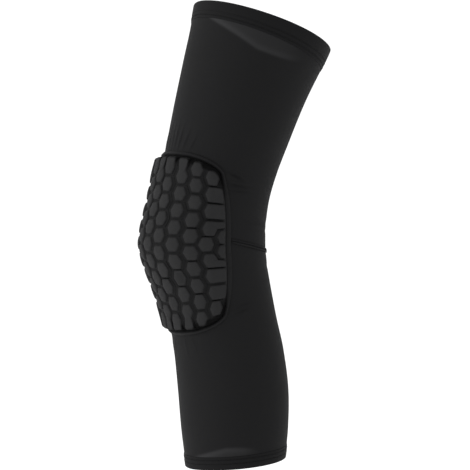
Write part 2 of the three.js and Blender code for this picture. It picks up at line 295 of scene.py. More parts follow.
def knitStitchGroup():
    group, start, end = newGroup(
        "knitStitch",
        [("Place", "Vector", None), ("Wales", "Float", 1400.0), ("Courses", "Float", 1100.0)],
        [("Height", "Float"), ("Gap", "Float")],
    )
    place = addNode(group, "SeparateXYZ")
    group.links.new(start.outputs["Place"], place.inputs[0])
    column = calc(group, "FRACT", calc(group, "MULTIPLY", place.outputs[0], start.outputs["Wales"]))
    arm = calc(group, "ABSOLUTE", calc(group, "SUBTRACT", column, 0.5))
    climb = calc(group, "MULTIPLY", place.outputs[1], start.outputs["Courses"])
    loop = calc(group, "FRACT", calc(group, "ADD", climb, calc(group, "MULTIPLY", arm, weave["stitchLean"])))
    crest = calc(group, "SINE", calc(group, "MULTIPLY", loop, math.pi))
    valley = calc(group, "SINE", calc(group, "MULTIPLY", arm, 2 * math.pi))
    height = calc(group, "MULTIPLY", crest, calc(group, "MAXIMUM", valley, 0.0))
    group.links.new(height, end.inputs["Height"])
    group.links.new(calc(group, "SUBTRACT", 1.0, height), end.inputs["Gap"])
    return group


def clothToneGroup():
    group, start, end = newGroup(
        "clothTone",
        [
            ("Colour", "Color", (0.02, 0.02, 0.02, 1)),
            ("Faded", "Color", (0.03, 0.03, 0.03, 1)),
            ("Cloud Size", "Float", 30.0),
            ("Fleck Size", "Float", weave["fleckSize"]),
            ("Fade", "Float", 0.5),
            ("Gap", "Float", 0.0),
        ],
        [("Colour", "Color"), ("Rough", "Float")],
    )
    where = addNode(group, "TexCoord")
    cloud = addNode(group, "TexNoise")
    fleck = addNode(group, "TexNoise")
    for noise, size, detail in ((cloud, "Cloud Size", 3.0), (fleck, "Fleck Size", 1.0)):
        noise.inputs["Detail"].default_value = detail
        group.links.new(where.outputs["Object"], noise.inputs["Vector"])
        group.links.new(start.outputs[size], noise.inputs["Scale"])
    broad = calc(group, "SUBTRACT", cloud.outputs["Fac"], weave["cloudFloor"])
    broad = calc(group, "MULTIPLY", broad, weave["cloudGain"])
    grain = calc(group, "SUBTRACT", fleck.outputs["Fac"], weave["fleckFloor"])
    grain = calc(group, "MULTIPLY", grain, weave["fleckGain"])
    share = calc(group, "MULTIPLY", calc(group, "ADD", broad, grain), start.outputs["Fade"])
    # painted shade in the gaps between the stitches
    lit = calc(group, "SUBTRACT", share, calc(group, "MULTIPLY", start.outputs["Gap"], weave["gapShade"]))
    held = calc(group, "MINIMUM", calc(group, "MAXIMUM", lit, 0.0), 1.0)
    colour = blendColour(group, held, start.outputs["Colour"], start.outputs["Faded"])
    group.links.new(colour, end.inputs["Colour"])
    rough = calc(group, "ADD", weave["rough"], calc(group, "MULTIPLY", broad, weave["roughSpread"]))
    group.links.new(rough, end.inputs["Rough"])
    return group


knitStitch = knitStitchGroup()
clothTone = clothToneGroup()


# A knitted or woven finish; marks on the mesh lighten it with painted light where light shines through thin
# knit, and darken it with painted shade in grooves, seams and creases
def clothMaterial(name, look):
    material = bpy.data.materials.new(name)
    material.use_nodes = True
    tree = material.node_tree
    shader = tree.nodes["Principled BSDF"]
    stitch = addNode(tree, "Group", node_tree=knitStitch)
    setInputs(stitch, {"Wales": look["wales"], "Courses": look["courses"]})
    place = addNode(tree, "UVMap", uv_map="cloth")
    tree.links.new(place.outputs[0], stitch.inputs["Place"])
    tone = addNode(tree, "Group", node_tree=clothTone)
    setInputs(tone, {"Colour": (*look["colour"], 1), "Faded": (*look["faded"], 1)})
    setInputs(tone, {"Fade": look["fade"], "Cloud Size": look["cloudSize"]})
    tree.links.new(stitch.outputs["Gap"], tone.inputs["Gap"])
    colour = tone.outputs["Colour"]
    # painted light, then painted shade, laid over the cloth's own colour
    for mask in ("sheerGlow", "paintedShade"):
        if mask in look:
            mark = addNode(tree, "Attribute", attribute_name=mask)
            colour = blendColour(tree, mark.outputs["Fac"], colour, (*look[mask], 1))
    tree.links.new(colour, shader.inputs["Base Color"])
    tree.links.new(tone.outputs["Rough"], shader.inputs["Roughness"])
    relief = addNode(tree, "Bump")
    setInputs(relief, {"Strength": look["relief"], "Distance": weave["stitchHeight"]})
    tree.links.new(stitch.outputs["Height"], relief.inputs["Height"])
    tree.links.new(relief.outputs["Normal"], shader.inputs["Normal"])
    setInputs(shader, {
        "Specular IOR Level": look["gloss"],
        "Sheen Weight": look["sheen"],
        "Sheen Roughness": look["sheenSpread"],
        "Sheen Tint": (1, 1, 1, 1),
    })
    return material


knitLook = {
    "fade": 0.5,
    "wales": 1500.0,
    "courses": 1150.0,
    "relief": 0.35,
    "gloss": 0.07,
    "sheen": 0.015,
    "sheenSpread": 0.35,
}
trimLook = {
    "colour": (0.0084, 0.0084, 0.0088),
    "faded": (0.0116, 0.0116, 0.0120),
    "fade": 0.5,
    "cloudSize": 40.0,
    "wales": 1300.0,
    "courses": 1300.0,
    "relief": 0.3,
    "gloss": 0.08,
    "sheen": 0.02,
    "sheenSpread": 0.4,
    # the colour of the painted shade at the welt's edges and in the back seam's groove
    "paintedShade": (0.0007, 0.0007, 0.0008),
}
looks = {
    "knit": {
        **knitLook,
        "colour": (0.0088, 0.0088, 0.0092),
        "faded": (0.0118, 0.0118, 0.0122),
        "cloudSize": 25.0,
        # painted light: the glow of light shining through the thin knit beside the hems
        "sheerGlow": (0.026, 0.026, 0.027),
        # painted shade in the creases and along the knee seam
        "paintedShade": (0.0020, 0.0020, 0.0022),
    },
    "hemKnit": {
        **knitLook,
        "colour": (0.0074, 0.0074, 0.0078),
        "faded": (0.0102, 0.0102, 0.0106),
        "cloudSize": 30.0,
    },
    "padCloth": {
        "colour": (0.0180, 0.0180, 0.0185),
        "faded": (0.0250, 0.0250, 0.0256),
        "fade": 0.55,
        "cloudSize": 60.0,
        "wales": 1300.0,
        "courses": 1300.0,
        "relief": 0.3,
        "gloss": 0.07,
        "sheen": 0.02,
        "sheenSpread": 0.4,
        # the colour of the painted shade in grooves, at the seam and on turned-down edges
        "paintedShade": (0.0006, 0.0006, 0.0007),
    },
    "borderCloth": trimLook,
    "seamCloth": trimLook,    # on its own, because the back seam is in the slot of the threads
    "thread": {
        "colour": (0.0052, 0.0052, 0.0055),
        "faded": (0.0080, 0.0080, 0.0084),
        "fade": 0.6,
        "cloudSize": 300.0,
        "wales": 2500.0,
        "courses": 2500.0,
        "relief": 0.2,
        "gloss": 0.06,
        "sheen": 0.01,
        "sheenSpread": 0.4,
    },
}
finishes = {name: clothMaterial(name, look) for name, look in looks.items()}


# Gives a finished piece its material and slot, and the node that it stands for
def fitted(piece, finish, *nodes):
    piece.data.materials.append(finishes[finish])
    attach(piece, "root")
    if nodes:
        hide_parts(*nodes)
    print("made", piece.name, len(piece.data.polygons), "faces")
    return piece


# Sleeve
sleeve = {
    "wall": 1.3,
    "gap": 0.3,
    "turns": 300,
    "rows": 170,
    "insideRows": 26,
    "seamDip": 0.85,        # the cloth is drawn in along the knee seam
    "seamDipWidth": 2.2,
    # painted shade along the knee seam, where the cloth is drawn in
    "seamDark": 0.25,
    "seamDarkWidth": 2.6,
    "seamFrom": 62,         # degrees from the front line between which the seam begins
    "seamTo": 105,
    "girthPerTurn": 60.0,   # radius that the weave's places are measured on
}
# Painted light shining through the thinner knit beside the hems, as a lens on each side of the leg; middle
# and half are degrees round it
sheerGlowLens = {
    "top": {"depth": 18.0, "middle": 62, "half": 49},
    "bottom": {"depth": 9.5, "middle": 50, "half": 42},
    "softness": 1.6,
    "frontCurve": 0.85,     # how the lens narrows towards the front
    # how strong the painted light is in the lens's middle
    "shade": 0.72,
    "shadeFall": 0.3,       # it gets weaker towards the back
    "backFade": 0.35,       # and fades out from this share of the way
    "body": 0.62,
    "rim": 0.5,             # it is strongest along its edge
    "rimInset": 2.5,
    "rimWidth": 3.0,
}
# Painted shade of the crease under a fold, in shares of the fold's length and width
crease = {"below": 1.5, "long": 0.9, "wide": 0.8}
# Folds of the cloth, each with a twin on the other side: turn in degrees, height, length and width in
# millimetres, lean in degrees, rise in millimetres, and how dark the painted shade of its crease is
folds = [
    (84, 61, 11, 1.4, -8, 1.2, 0.6),
    (88, 55, 13, 1.3, -5, 1.1, 0.5),
    (80, 70, 10, 1.5, -24, 1.2, 0.7),
    (84, -62, 10, 1.5, 18, 0.8, 0.5),
    (90, -55, 12, 1.5, 8, 0.3, 0.25),
    (3, 107, 12, 1.2, 87, 0.6, 0.4),
    (10, 106, 11, 1.2, 83, 0.6, 0.4),
    (18, 104, 10, 1.3, 77, 0.5, 0.4),
    (27, 101, 8, 1.4, 70, 0.4, 0.3),
    (12, -101, 9, 1.5, -82, 0.4, 0.25),
    (24, -99, 8, 1.5, -72, 0.4, 0.25),
    (128, 24, 26, 3.0, -6, -0.4, 0.25),
    (140, 15, 30, 2.6, -9, -0.5, 0.25),
    (165, 21, 22, 3.2, 4, -0.5, 0.25),
    (152, -21, 26, 3.0, 5, -0.45, 0.25),
    (132, -30, 18, 3.4, 8, -0.3, 0.25),
]


# How far the folds lift the cloth, and how dark the painted shade in the creases under them is
def foldLift(turn, height):
    lift = np.zeros_like(turn)
    shade = np.zeros_like(turn)
    for foldTurn, foldHeight, length, width, lean, rise, dark in folds:
        lean = math.radians(lean)
        for side in (1, -1):
            apart = np.angle(np.exp(1j * (turn * side - math.radians(foldTurn))))
            around = apart * sleeve["girthPerTurn"]
            up = height - foldHeight
            along = around * math.cos(lean) + up * math.sin(lean)
            across = up * math.cos(lean) - around * math.sin(lean)
            lift += rise * swell(along, length) * swell(across, width)
            below = across + crease["below"] * width
            shade += dark * swell(along, length * crease["long"]) * swell(below, width * crease["wide"])
    return lift, np.clip(shade, 0, 1)


# Slow waves that keep the cloth from looking like a perfect tube: counts round the leg, lengths up it
slack = {
    "height": 0.12,
    "waves": 3,
    "waveLength": 31,
    "patchLength": 23,
    "patchStart": 1.7,
    "ripples": 5,
    "rippleLength": 17,
    "rippleShare": 0.6,
}


def slackLift(turn, height):
    patches = np.sin(height / slack["patchLength"] + slack["patchStart"])
    waves = np.sin(slack["waves"] * turn + height / slack["waveLength"]) * patches
    ripples = np.sin(slack["ripples"] * turn - height / slack["rippleLength"])
    return slack["height"] * (waves + slack["rippleShare"] * ripples)


# Painted light: how much the light shining through the thin knit beside a hem lightens it
def sheerGlowMark(turn, fromHem, lens):
    reach = np.zeros_like(turn)
    shade = np.zeros_like(turn)
    for side in (1, -1):
        place = np.degrees(np.angle(np.exp(1j * (turn * side - math.radians(lens["middle"]))))) / lens["half"]
        front = np.clip(1 + place, 0, 1) ** sheerGlowLens["frontCurve"]
        back = np.sqrt(np.clip(1 - place ** 2, 0, 1))
        reach = np.maximum(reach, lens["depth"] * np.where(place < 0, front, back))
        strength = sheerGlowLens["shade"] - sheerGlowLens["shadeFall"] * place
        shade = np.maximum(shade, strength * eased(1.0, sheerGlowLens["backFade"], place) * (np.abs(place) < 1))
    edge = eased(-sheerGlowLens["softness"], sheerGlowLens["softness"], reach - fromHem)
    rim = swell(reach - fromHem - sheerGlowLens["rimInset"], sheerGlowLens["rimWidth"])
    return np.clip(edge * shade * (sheerGlowLens["body"] + sheerGlowLens["rim"] * rim), 0, 1)


def wallPoints(lower, upper, shares, lifts, turn):
    bottom = cutHeight(turn, lower)
    top = cutHeight(turn, upper)
    heights = mix(bottom[:, None], top[:, None], np.asarray(shares)[None, :])
    turns = np.broadcast_to(turn[:, None], heights.shape)
    return turns, heights, np.broadcast_to(np.asarray(lifts, float)[None, :], heights.shape)


def clothPlaces(turns, heights):
    around = np.concatenate([turns, turns[:1] + 2 * math.pi]) * sleeve["girthPerTurn"]
    up = np.concatenate([heights, heights[:1]])
    place = np.stack([around, up], axis=-1)
    return np.concatenate([place, place[:, :1]], axis=1)


def clothPanel(name, lower, upper, hemSide):
    turn = np.arange(sleeve["turns"]) / sleeve["turns"] * 2 * math.pi
    outside = np.linspace(0, 1, sleeve["rows"])
    inside = np.linspace(1, 0, sleeve["insideRows"])
    shares = np.concatenate([outside, inside])
    lifts = np.concatenate([np.zeros(len(outside)), np.full(len(inside), -sleeve["wall"])])
    turns, heights, lift = wallPoints(lower, upper, shares, lifts, turn)
    seam = cutHeight(turn, cuts["kneeSeam"])[:, None]
    fromFront = np.minimum(turn, 2 * math.pi - turn)
    behind = eased(math.radians(sleeve["seamFrom"]), math.radians(sleeve["seamTo"]), fromFront)[:, None]
    dip = sleeve["seamDip"] * behind * swell(heights - seam, sleeve["seamDipWidth"])
    # both faces follow the folds, so the wall keeps its thickness
    raised, paintedShade = foldLift(turns, heights)
    lift = lift + raised + slackLift(turns, heights) - dip
    # painted shade in the creases under the folds and along the knee seam
    paintedShade = np.maximum(paintedShade, sleeve["seamDark"] * behind * swell(heights - seam, sleeve["seamDarkWidth"]))
    if hemSide == "top":
        fromHem = cutHeight(turn, upper)[:, None] - heights
    else:
        fromHem = heights - cutHeight(turn, lower)[:, None]
    # painted light through the thin knit by the hem, and painted shade in the creases and along the knee seam
    marks = {"sheerGlow": sheerGlowMark(turns, fromHem, sheerGlowLens[hemSide]), "paintedShade": paintedShade}
    return ringMesh(name, legPoint(turns, heights, lift), clothPlaces(turns, heights), marks)


def moved(cut, distance):
    return {"middle": cut["middle"] + distance, "lean": cut["lean"]}


gap = sleeve["gap"]
overSeam = moved(cuts["kneeSeam"], gap / 2)
underSeam = moved(cuts["kneeSeam"], -gap / 2)
thighPanel = clothPanel("thighPanel", overSeam, moved(cuts["topHemLine"], -gap), "top")
fitted(thighPanel, "knit", "thigh_panel")
calfPanel = clothPanel("calfPanel", moved(cuts["bottomHemLine"], gap), underSeam, "bottom")
fitted(calfPanel, "knit", "calf_panel")

# Hems: folded bands with two rows of stitching beside the hem line
hem = {
    "proud": 0.5,
    "cover": 0.8,          # the band reaches this far past the hem line, over the sleeve's end
    "rounding": 0.6,
    "roundingReach": 0.9,
    "lip": 0.35,           # rounding of the end that lies over the sleeve
    "lipReach": 0.7,
    "puff": 0.25,          # the band is fullest between the stitching and the rim
    "puffCurve": 0.7,
    "stitchLines": [2.2, 6.4],
    "stitchDip": 0.3,
    "stitchDipWidth": 0.8,
    "rows": 44,
    "stitchLength": 2.5,
    "stitchGap": 0.7,
    "stitchLift": 0.05,
    "stitchArch": 0.22,
    "stitchSteps": 5,
    "threadRadius": 0.2,
}


def hemBand(name, lower, upper, rimAtTop):
    turn = np.arange(sleeve["turns"]) / sleeve["turns"] * 2 * math.pi
    depth = abs(upper["middle"] - lower["middle"])
    share = np.linspace(0, 1, hem["rows"])
    fromLine = mix(-hem["cover"], depth, share if rimAtTop else 1 - share)
    if rimAtTop:
        lower = moved(lower, -hem["cover"])
    else:
        upper = moved(upper, hem["cover"])
    toRim = depth - fromLine
    puff = hem["puff"] * np.sin(np.clip(fromLine / depth, 0, 1) * math.pi) ** hem["puffCurve"]
    rounding = hem["rounding"] * np.clip(1 - toRim / hem["roundingReach"], 0, 1) ** 2
    outside = hem["proud"] + puff - rounding
    outside -= hem["lip"] * np.clip(1 - (fromLine + hem["cover"]) / hem["lipReach"], 0, 1) ** 2
    for line in hem["stitchLines"]:
        outside -= hem["stitchDip"] * swell(fromLine - line, hem["stitchDipWidth"])
    inside = -sleeve["wall"] - hem["proud"] + rounding
    shares = np.concatenate([share, share[::-1]])
    lifts = np.concatenate([outside, inside[::-1]])
    turns, heights, lift = wallPoints(lower, upper, shares, lifts, turn)
    lift = lift + slackLift(turns, heights)
    return ringMesh(name, legPoint(turns, heights, lift), clothPlaces(turns, heights))


def hemStitches(name, line, away):
    centres = []
    out = []
    steps = np.linspace(0, 1, hem["stitchSteps"])
    for distance in hem["stitchLines"]:
        radius = legSize(np.float64(line["middle"]), "deep")
        count = int(2 * math.pi * radius / (hem["stitchLength"] + hem["stitchGap"]))
        start = np.arange(count) / count * 2 * math.pi
        turn = start[:, None] + steps[None, :] * hem["stitchLength"] / radius
        height = cutHeight(turn, line) + away * distance
        arch = hem["proud"] + hem["stitchLift"] + hem["stitchArch"] * np.sin(steps * math.pi)[None, :]
        centres.append(legPoint(turn, height, arch + slackLift(turn, height)))
        out.append(outward(turn))
    return threadMesh(name, np.concatenate(centres), np.concatenate(out), hem["threadRadius"])


thighHem = fitted(hemBand("thighHem", cuts["topHemLine"], cuts["topRim"], True), "hemKnit", "thigh_hem")
calfHem = fitted(hemBand("calfHem", cuts["bottomRim"], cuts["bottomHemLine"], False), "hemKnit", "calf_hem")
thighStitches = fitted(hemStitches("thighHemStitches", cuts["topHemLine"], 1), "thread")
calfStitches = fitted(hemStitches("calfHemStitches", cuts["bottomHemLine"], -1), "thread")

# Pad layout, laid flat: around is measured from the front line at the knee's size
pad = {
    "line": 1.7,           # height of its middle
    "draw": 0.132,         # how much narrower it is at its ends
    "spread": 1.086,       # stretch round the knee at its middle, and at its ends
    "endSpread": 0.9,
    "fan": 0.158,          # its rows draw together towards the sides
    "clearance": 0.9,
    "edge": 1.3,           # height of its edge at the ends, and at the sides
    "sideEdge": 2.7,
    "floor": 6.0,          # the bottom of the grooves
    "floorReach": 3.2,     # the floor rises from the edge over this distance
    "floorDrop": 0.85,     # how far it follows the cells' drop
    "sideDrop": 3.0,       # the cells get lower towards the pad's sides
    "sides": (56, 76),     # distances round between which the sides begin
    "ends": (46, 70),      # heights between which the ends begin
    "seamReach": (8.0, 4.0),   # distances from the edge between which the seam's shade comes in
    "openReach": (3.2, 1.4),   # and between which the grooves open at the sides
    "openDark": 0.1,
    "outlineSteps": 44,
    "coarseSteps": 12,
    "sheetRings": [1, 0.985, 0.965, 0.94, 0.9, 0.84, 0.76, 0.66, 0.52, 0.38, 0.24, 0.1],
    "sheetDrop": 0.2,
    # painted shade on the sheet between the cells
    "sheetDark": 0.65,
}
padEdge = {"halfHeight": 86.4, "halfAround": 76.8, "cornerAround": 43.0, "cornerHeight": 12.4}
cellEdge = {"halfHeight": 86.0, "halfAround": 75.6, "cornerAround": 37.5, "cornerHeight": 17.5}
cells = {
    "top": 8.5,
    "rowPitch": 16.95,
    "columnPitch": 15.4,
    "height": 14.4,
    "width": 13.2,
    "flat": 7.4,
    "rounding": 2.0,
    "bevel": 2.0,
    "crown": 0.45,
    "farReach": 1.4,       # in column pitches, how far a cell runs that the pad's edge cuts off
    "leastField": 0.3,
    "points": 46,
    "fineAngles": 361,     # steps round a cell, and out from its middle, when its outline is measured
    "reachSteps": 220,
    "reachLimit": 32,
    "uneven": 0.25,
    "tilt": 0.012,
    "leastFlat": 0.4,
    "leastGroove": 0.25,
    "footRounding": 0.3,
    "footLift": 0.1,       # the cells stand in the sheet, this far over its back
    "pressed": (1.3, 0.7),    # half widths of a groove between which it counts as pressed shut
    "faceRings": (0.35, 0.65, 0.87),
    "bevelRings": (0, 25, 50, 72, 90),    # degrees of the rounded edge
    # painted shade: on the rounded edge as it turns down, near the seam, down the walls and on settled cells
    "bevelDark": 0.3,
    "seamDark": 0.9,
    "wallRings": (0.1, 0.25, 0.45, 0.68, 0.88, 1.0),
    "wallCurve": 2.2,
    "wallDark": 0.35,
    "settledDark": 0.15,
}
# Necks run from the cells at the pad's ends to its edge, and get wider there
neck = {"width": 7.6, "endWidth": 12.0, "overlap": 3, "inset": 1, "length": 12}
neckField = {"wider": 2, "length": 24}
squared = {"width": 0.9, "fieldWider": 1, "length": 20}    # half cells at the ends, cut off square
# A wing runs out over the half cell beside it; heights are from the cell's middle
wing = {"start": -1.0, "depth": 4, "low": -0.5, "outerLow": 2.6, "fieldLow": -1.0, "fieldOuterLow": 1.4}
cellColumns = [
    {"column": 0, "rows": [0, 1, 2, 3, 4], "necks": [4], "wider": 1.6},
    {"column": 1, "rows": [0.5, 1.5, 2.5, 3.5, 4.5], "squared": [4.5], "wider": 1.4},
    {"column": 2, "rows": [0, 1, 2, 3, 4], "necks": [4], "wider": 0.5},
    {"column": 3, "rows": [0.5, 1.5, 2.5, 3.5, 4.5]},
    {"column": 4, "rows": [0, 1, 2, 3, 4], "reach": [2, 3], "wings": [1]},
    {"column": 5, "rows": [0.5]},
]
# Cells nearer to the front line than their column, by column and row; the same on both sides, above and below
nudges = {(4, 0): 2.4, (5, 0.5): 2.6, (1, 1.5): 1.0, (1, 2.5): 1.8, (1, 3.5): 1.4, (1, 4.5): 1.8}
# Cells higher than their row, the same on both sides
nudgedUp = {(4, 4): 2.0, (4, 3): 1.6, (4, 2): 1.2, (3, 3.5): 1.0, (3, 2.5): 0.8}
# a settled cell gets painted shade on its face
settled = {(2, -2): 1.3, (1, -3.5): 0.6}   # single cells that have sunk a little
# Grooves that the bend of the knee has pressed shut: the rows that they lie between, by column
pinches = {
    1: [(-2.5, -1.5)],
    2: [(-3, -2), (-2, -1)],
    3: [(-3.5, -2.5), (-1.5, -0.5), (0.5, 1.5)],
    4: [(-4, -3), (-2, -1), (0, 1), (1, 2), (2, 3), (3, 4)],
    5: [(-0.5, 0.5)],
}
pinchReach = 0.7    # how far each cell beside a pressed groove comes over it


def lineHalfWidth(line, height):
    level = np.abs(height)
    side = line["halfAround"] * (1 - pad["draw"] * (level / line["halfHeight"]) ** 2)
    into = np.clip((level - (line["halfHeight"] - line["cornerHeight"])) / line["cornerHeight"], 0, 1)
    return side - line["cornerAround"] * (1 - np.sqrt(1 - into * into))


def padPoint(place, lift):
    around, height = place[..., 0], place[..., 1]
    end = (height / padEdge["halfHeight"]) ** 2
    turn = around / leg["kneeHalfDepth"] * mix(pad["spread"], pad["endSpread"], end)
    level = pad["line"] + height * (1 - pad["fan"] * (1 - np.cos(turn)))
    return legPoint(turn, level, lift)


# A line once round the pad, counterclockwise from its +X side, at about even steps
def lineRound(line, steps):
    angle = np.linspace(0, math.pi / 2, steps)
    cornerStart = line["halfHeight"] - line["cornerHeight"]
    side = np.linspace(0, cornerStart, steps, endpoint=False)
    heights = np.concatenate([side, cornerStart + line["cornerHeight"] * np.sin(angle)])
    corner = np.stack([lineHalfWidth(line, heights), heights], axis=-1)
    level = np.linspace(corner[-1, 0], 0, steps // 2)[1:]
    top = np.stack([level, np.full_like(level, line["halfHeight"])], axis=-1)
    quarter = np.concatenate([corner, top])
    left = quarter[::-1] * (-1, 1)
    upper = np.concatenate([quarter, left[1:]])
    lower = upper * (-1, -1)
    return np.concatenate([upper, lower[1:-1]])


def grown(outline, distance):
    across = np.roll(outline, -1, axis=0) - np.roll(outline, 1, axis=0)
    across /= np.linalg.norm(across, axis=-1, keepdims=True)
    return outline + np.stack([across[:, 1], -across[:, 0]], axis=-1) * distance


def edgesOf(shape):
    return zip(shape, np.roll(shape, -1, axis=0))


# Part of a convex polygon that lies inside another, both counterclockwise
def clipped(shape, outline):
    kept = [tuple(point) for point in shape]
    for start, end in edgesOf(outline):
        if len(kept) < 3:
            return kept
        side = [
            (end[0] - start[0]) * (y - start[1]) - (end[1] - start[1]) * (x - start[0])
            for x, y in kept
        ]
        later = []
        for k, point in enumerate(kept):
            after = kept[(k + 1) % len(kept)]
            here, there = side[k], side[(k + 1) % len(kept)]
            if here >= 0:
                later.append(point)
            if here * there < 0:
                share = here / (here - there)
                later.append((mix(point[0], after[0], share), mix(point[1], after[1], share)))
        kept = later
    return kept


def shrunk(shape, distance, shortest=0.05, beyond=200):
    shape = np.asarray(shape, float)
    along = np.roll(shape, -1, axis=0) - shape
    length = np.linalg.norm(along, axis=-1)
    kept = shape
    for start, way, size in zip(shape, along, length):
        if size < shortest:
            continue
        # a box on the inner side of this edge, larger than any shape here
        inward = np.array([-way[1], way[0]]) / size * distance
        far = way / size * beyond
        deep = inward * (2 * beyond) / distance
        wall = np.array([start + inward - far, start + inward + far, start + far + deep, start - far + deep])
        kept = clipped(kept, wall)
        if len(kept) < 3:
            return []
    return kept


# Distance from points to a convex polygon, 0 inside it
def distanceTo(points, shape):
    shape = np.asarray(shape, float)
    best = np.full(points.shape[:-1], endless)
    inside = np.ones(points.shape[:-1], bool)
    for start, end in edgesOf(shape):
        way = end - start
        size = way @ way
        if size < 1e-9:
            continue
        offset = points - start
        share = np.clip((offset @ way) / size, 0, 1)
        best = np.minimum(best, np.linalg.norm(offset - share[..., None] * way, axis=-1))
        inside &= way[0] * offset[..., 1] - way[1] * offset[..., 0] >= 0
    return np.where(inside, 0, best)


# How far a shape made of convex parts with rounded corners reaches from its middle, at each angle
def reachOf(parts, middle, angles, rounding):
    radii = np.linspace(0, cells["reachLimit"], cells["reachSteps"])
    rays = np.stack([np.cos(angles), np.sin(angles)], axis=-1)
    points = middle + rays[:, None, :] * radii[None, :, None]
    away = np.full(points.shape[:-1], endless)
    for part in parts:
        core = shrunk(part, rounding)
        if len(core) > 2:
            away = np.minimum(away, distanceTo(points, core))
    inside = away <= rounding
    last = len(radii) - 1 - np.argmax(inside[:, ::-1], axis=1)
    last = np.where(inside.any(axis=1), last, 0)
    row = np.arange(len(angles))
    after = np.minimum(last + 1, len(radii) - 1)
    here, there = away[row, last], away[row, after]
    share = np.clip((rounding - here) / np.maximum(there - here, 1e-9), 0, 1)
    return radii[last] + share * (radii[after] - radii[last])


def box(left, right, low, high):
    return [(left, low), (right, low), (right, high), (left, high)]


def flipped(shape, x, y):
    turned = [(x * a, y * b) for a, b in shape]
    return turned if x * y > 0 else turned[::-1]


# The parts of one cell and of the field it stands in, round its own middle
def cellShapes(column, row, spec):
    wider = spec.get("wider", 0) / 2
    flat, half, corner = cells["flat"] / 2 + wider, cells["height"] / 2, cells["width"] / 2 + wider
    fieldHalf = cells["rowPitch"] / 2
    slant = (corner - flat) / half
    fieldFlat = max((cells["columnPitch"] - slant * fieldHalf) / 2, flat + cells["leastField"])
    fieldCorner = cells["columnPitch"] - fieldFlat
    far = cells["columnPitch"] * cells["farReach"]
    level = abs(row)
    way = 1 if row >= 0 else -1
    # worked out for the pad's upper half, then flipped where the cell lies below
    out, back = half, half
    for low, high in pinches.get(abs(column), []):
        if row == (low if way > 0 else high):
            out += pinchReach
        if row == (high if way > 0 else low):
            back += pinchReach
    parts = [[(corner, 0), (flat, out), (-flat, out), (-corner, 0), (-flat, -back), (flat, -back)]]
    fields = [[
        (fieldCorner, 0), (fieldFlat, fieldHalf), (-fieldFlat, fieldHalf),
        (-fieldCorner, 0), (-fieldFlat, -fieldHalf), (fieldFlat, -fieldHalf),
    ]]
    if level in spec.get("reach", []):
        parts.append(box(-flat / 2, far, -back, out))
        fields.append(box(-fieldFlat / 2, far, -fieldHalf, fieldHalf))
    if level in spec.get("wings", []):
        start = wing["start"]
        lowEdge = [(start, out - wing["depth"]), (flat, wing["low"]), (far, wing["outerLow"])]
        fieldEdge = [(start, 0), (fieldFlat, wing["fieldLow"]), (far, wing["fieldOuterLow"])]
        parts.append([*lowEdge, (far, out), (start, out)])
        fields.append([*fieldEdge, (far, fieldHalf), (start, fieldHalf)])
    if level in spec.get("necks", []):
        thin, wide = neck["width"] / 2, neck["endWidth"] / 2
        low, high = half - neck["inset"], half + neck["length"]
        fieldWide = fieldFlat + neckField["wider"]
        parts.append(box(-thin, thin, 0, half + neck["overlap"]))
        parts.append([(-thin, low), (thin, low), (wide, high), (-wide, high)])
        fields.append(box(-fieldWide, fieldWide, 0, neckField["length"]))
    if level in spec.get("squared", []):
        wide = corner * squared["width"]
        fieldWide = fieldFlat + squared["fieldWider"]
        parts.append(box(-wide, wide, 0, squared["length"]))
        fields.append(box(-fieldWide, fieldWide, 0, squared["length"]))
    side = 1 if column >= 0 else -1
    return [flipped(part, side, way) for part in parts], [flipped(field, side, way) for field in fields]


def evenAngles(parts, middle, count):
    fine = np.linspace(0, 2 * math.pi, cells["fineAngles"])
    reach = reachOf(parts, middle, fine, cells["rounding"])
    points = np.stack([np.cos(fine), np.sin(fine)], axis=-1) * reach[:, None]
    steps = np.linalg.norm(np.diff(points, axis=0), axis=-1)
    walked = np.concatenate([[0], np.cumsum(steps)])
    return np.interp(np.arange(count) / count * walked[-1], walked, fine)


# Distance of places on the pad from its edge
def fromEdge(place, outline):
    inside = np.full(place.shape[:-1], endless)
    for start, end in edgesOf(outline):
        way = end - start
        length = np.linalg.norm(way)
        if length < 1e-6:
            continue
        toEdge = (way[0] * (place[..., 1] - start[1]) - way[1] * (place[..., 0] - start[0])) / length
        inside = np.minimum(inside, toEdge)
    return inside


# Height of the sheet between the cells: it falls away towards the pad's edge
def floorLift(place, outline):
    edge = mix(pad["sideEdge"], pad["edge"], endShare(place[..., 1]))
    floor = pad["floor"] - pad["floorDrop"] * sideDrop(place)
    return mix(edge, floor, eased(0, pad["floorReach"], fromEdge(place, outline)))


# The seam round the pad is deep and dark with painted shade at its ends and corners, and shallow along its
# sides
def endShare(height):
    return eased(*pad["ends"], np.abs(height))


def sideDrop(place):
    return pad["sideDrop"] * eased(*pad["sides"], np.abs(place[..., 0]))


def seamShade(place, outline):
    return endShare(place[..., 1]) * eased(*pad["seamReach"], fromEdge(place, outline))


# Shade of a groove: black in the seam at the pad's ends, and pale where it opens at the pad's sides
def grooveShade(place, depth, outline):
    opened = eased(*pad["openReach"], fromEdge(place, outline)) * (1 - endShare(place[..., 1]))
    return np.maximum(mix(depth, pad["openDark"], opened), seamShade(place, outline))


# Rings of one cell from its middle out: what the ring belongs to, its share of the way, and its lift
def cellRings(top):
    rings = [("face", share, top + cells["crown"] * (1 - share ** 2)) for share in cells["faceRings"]]
    for degrees in cells["bevelRings"]:
        angle = math.radians(degrees)
        rings.append(("bevel", math.sin(angle), top - cells["bevel"] * (1 - math.cos(angle))))
    return rings + [("wall", share, (1 - share) ** cells["wallCurve"]) for share in cells["wallRings"]]


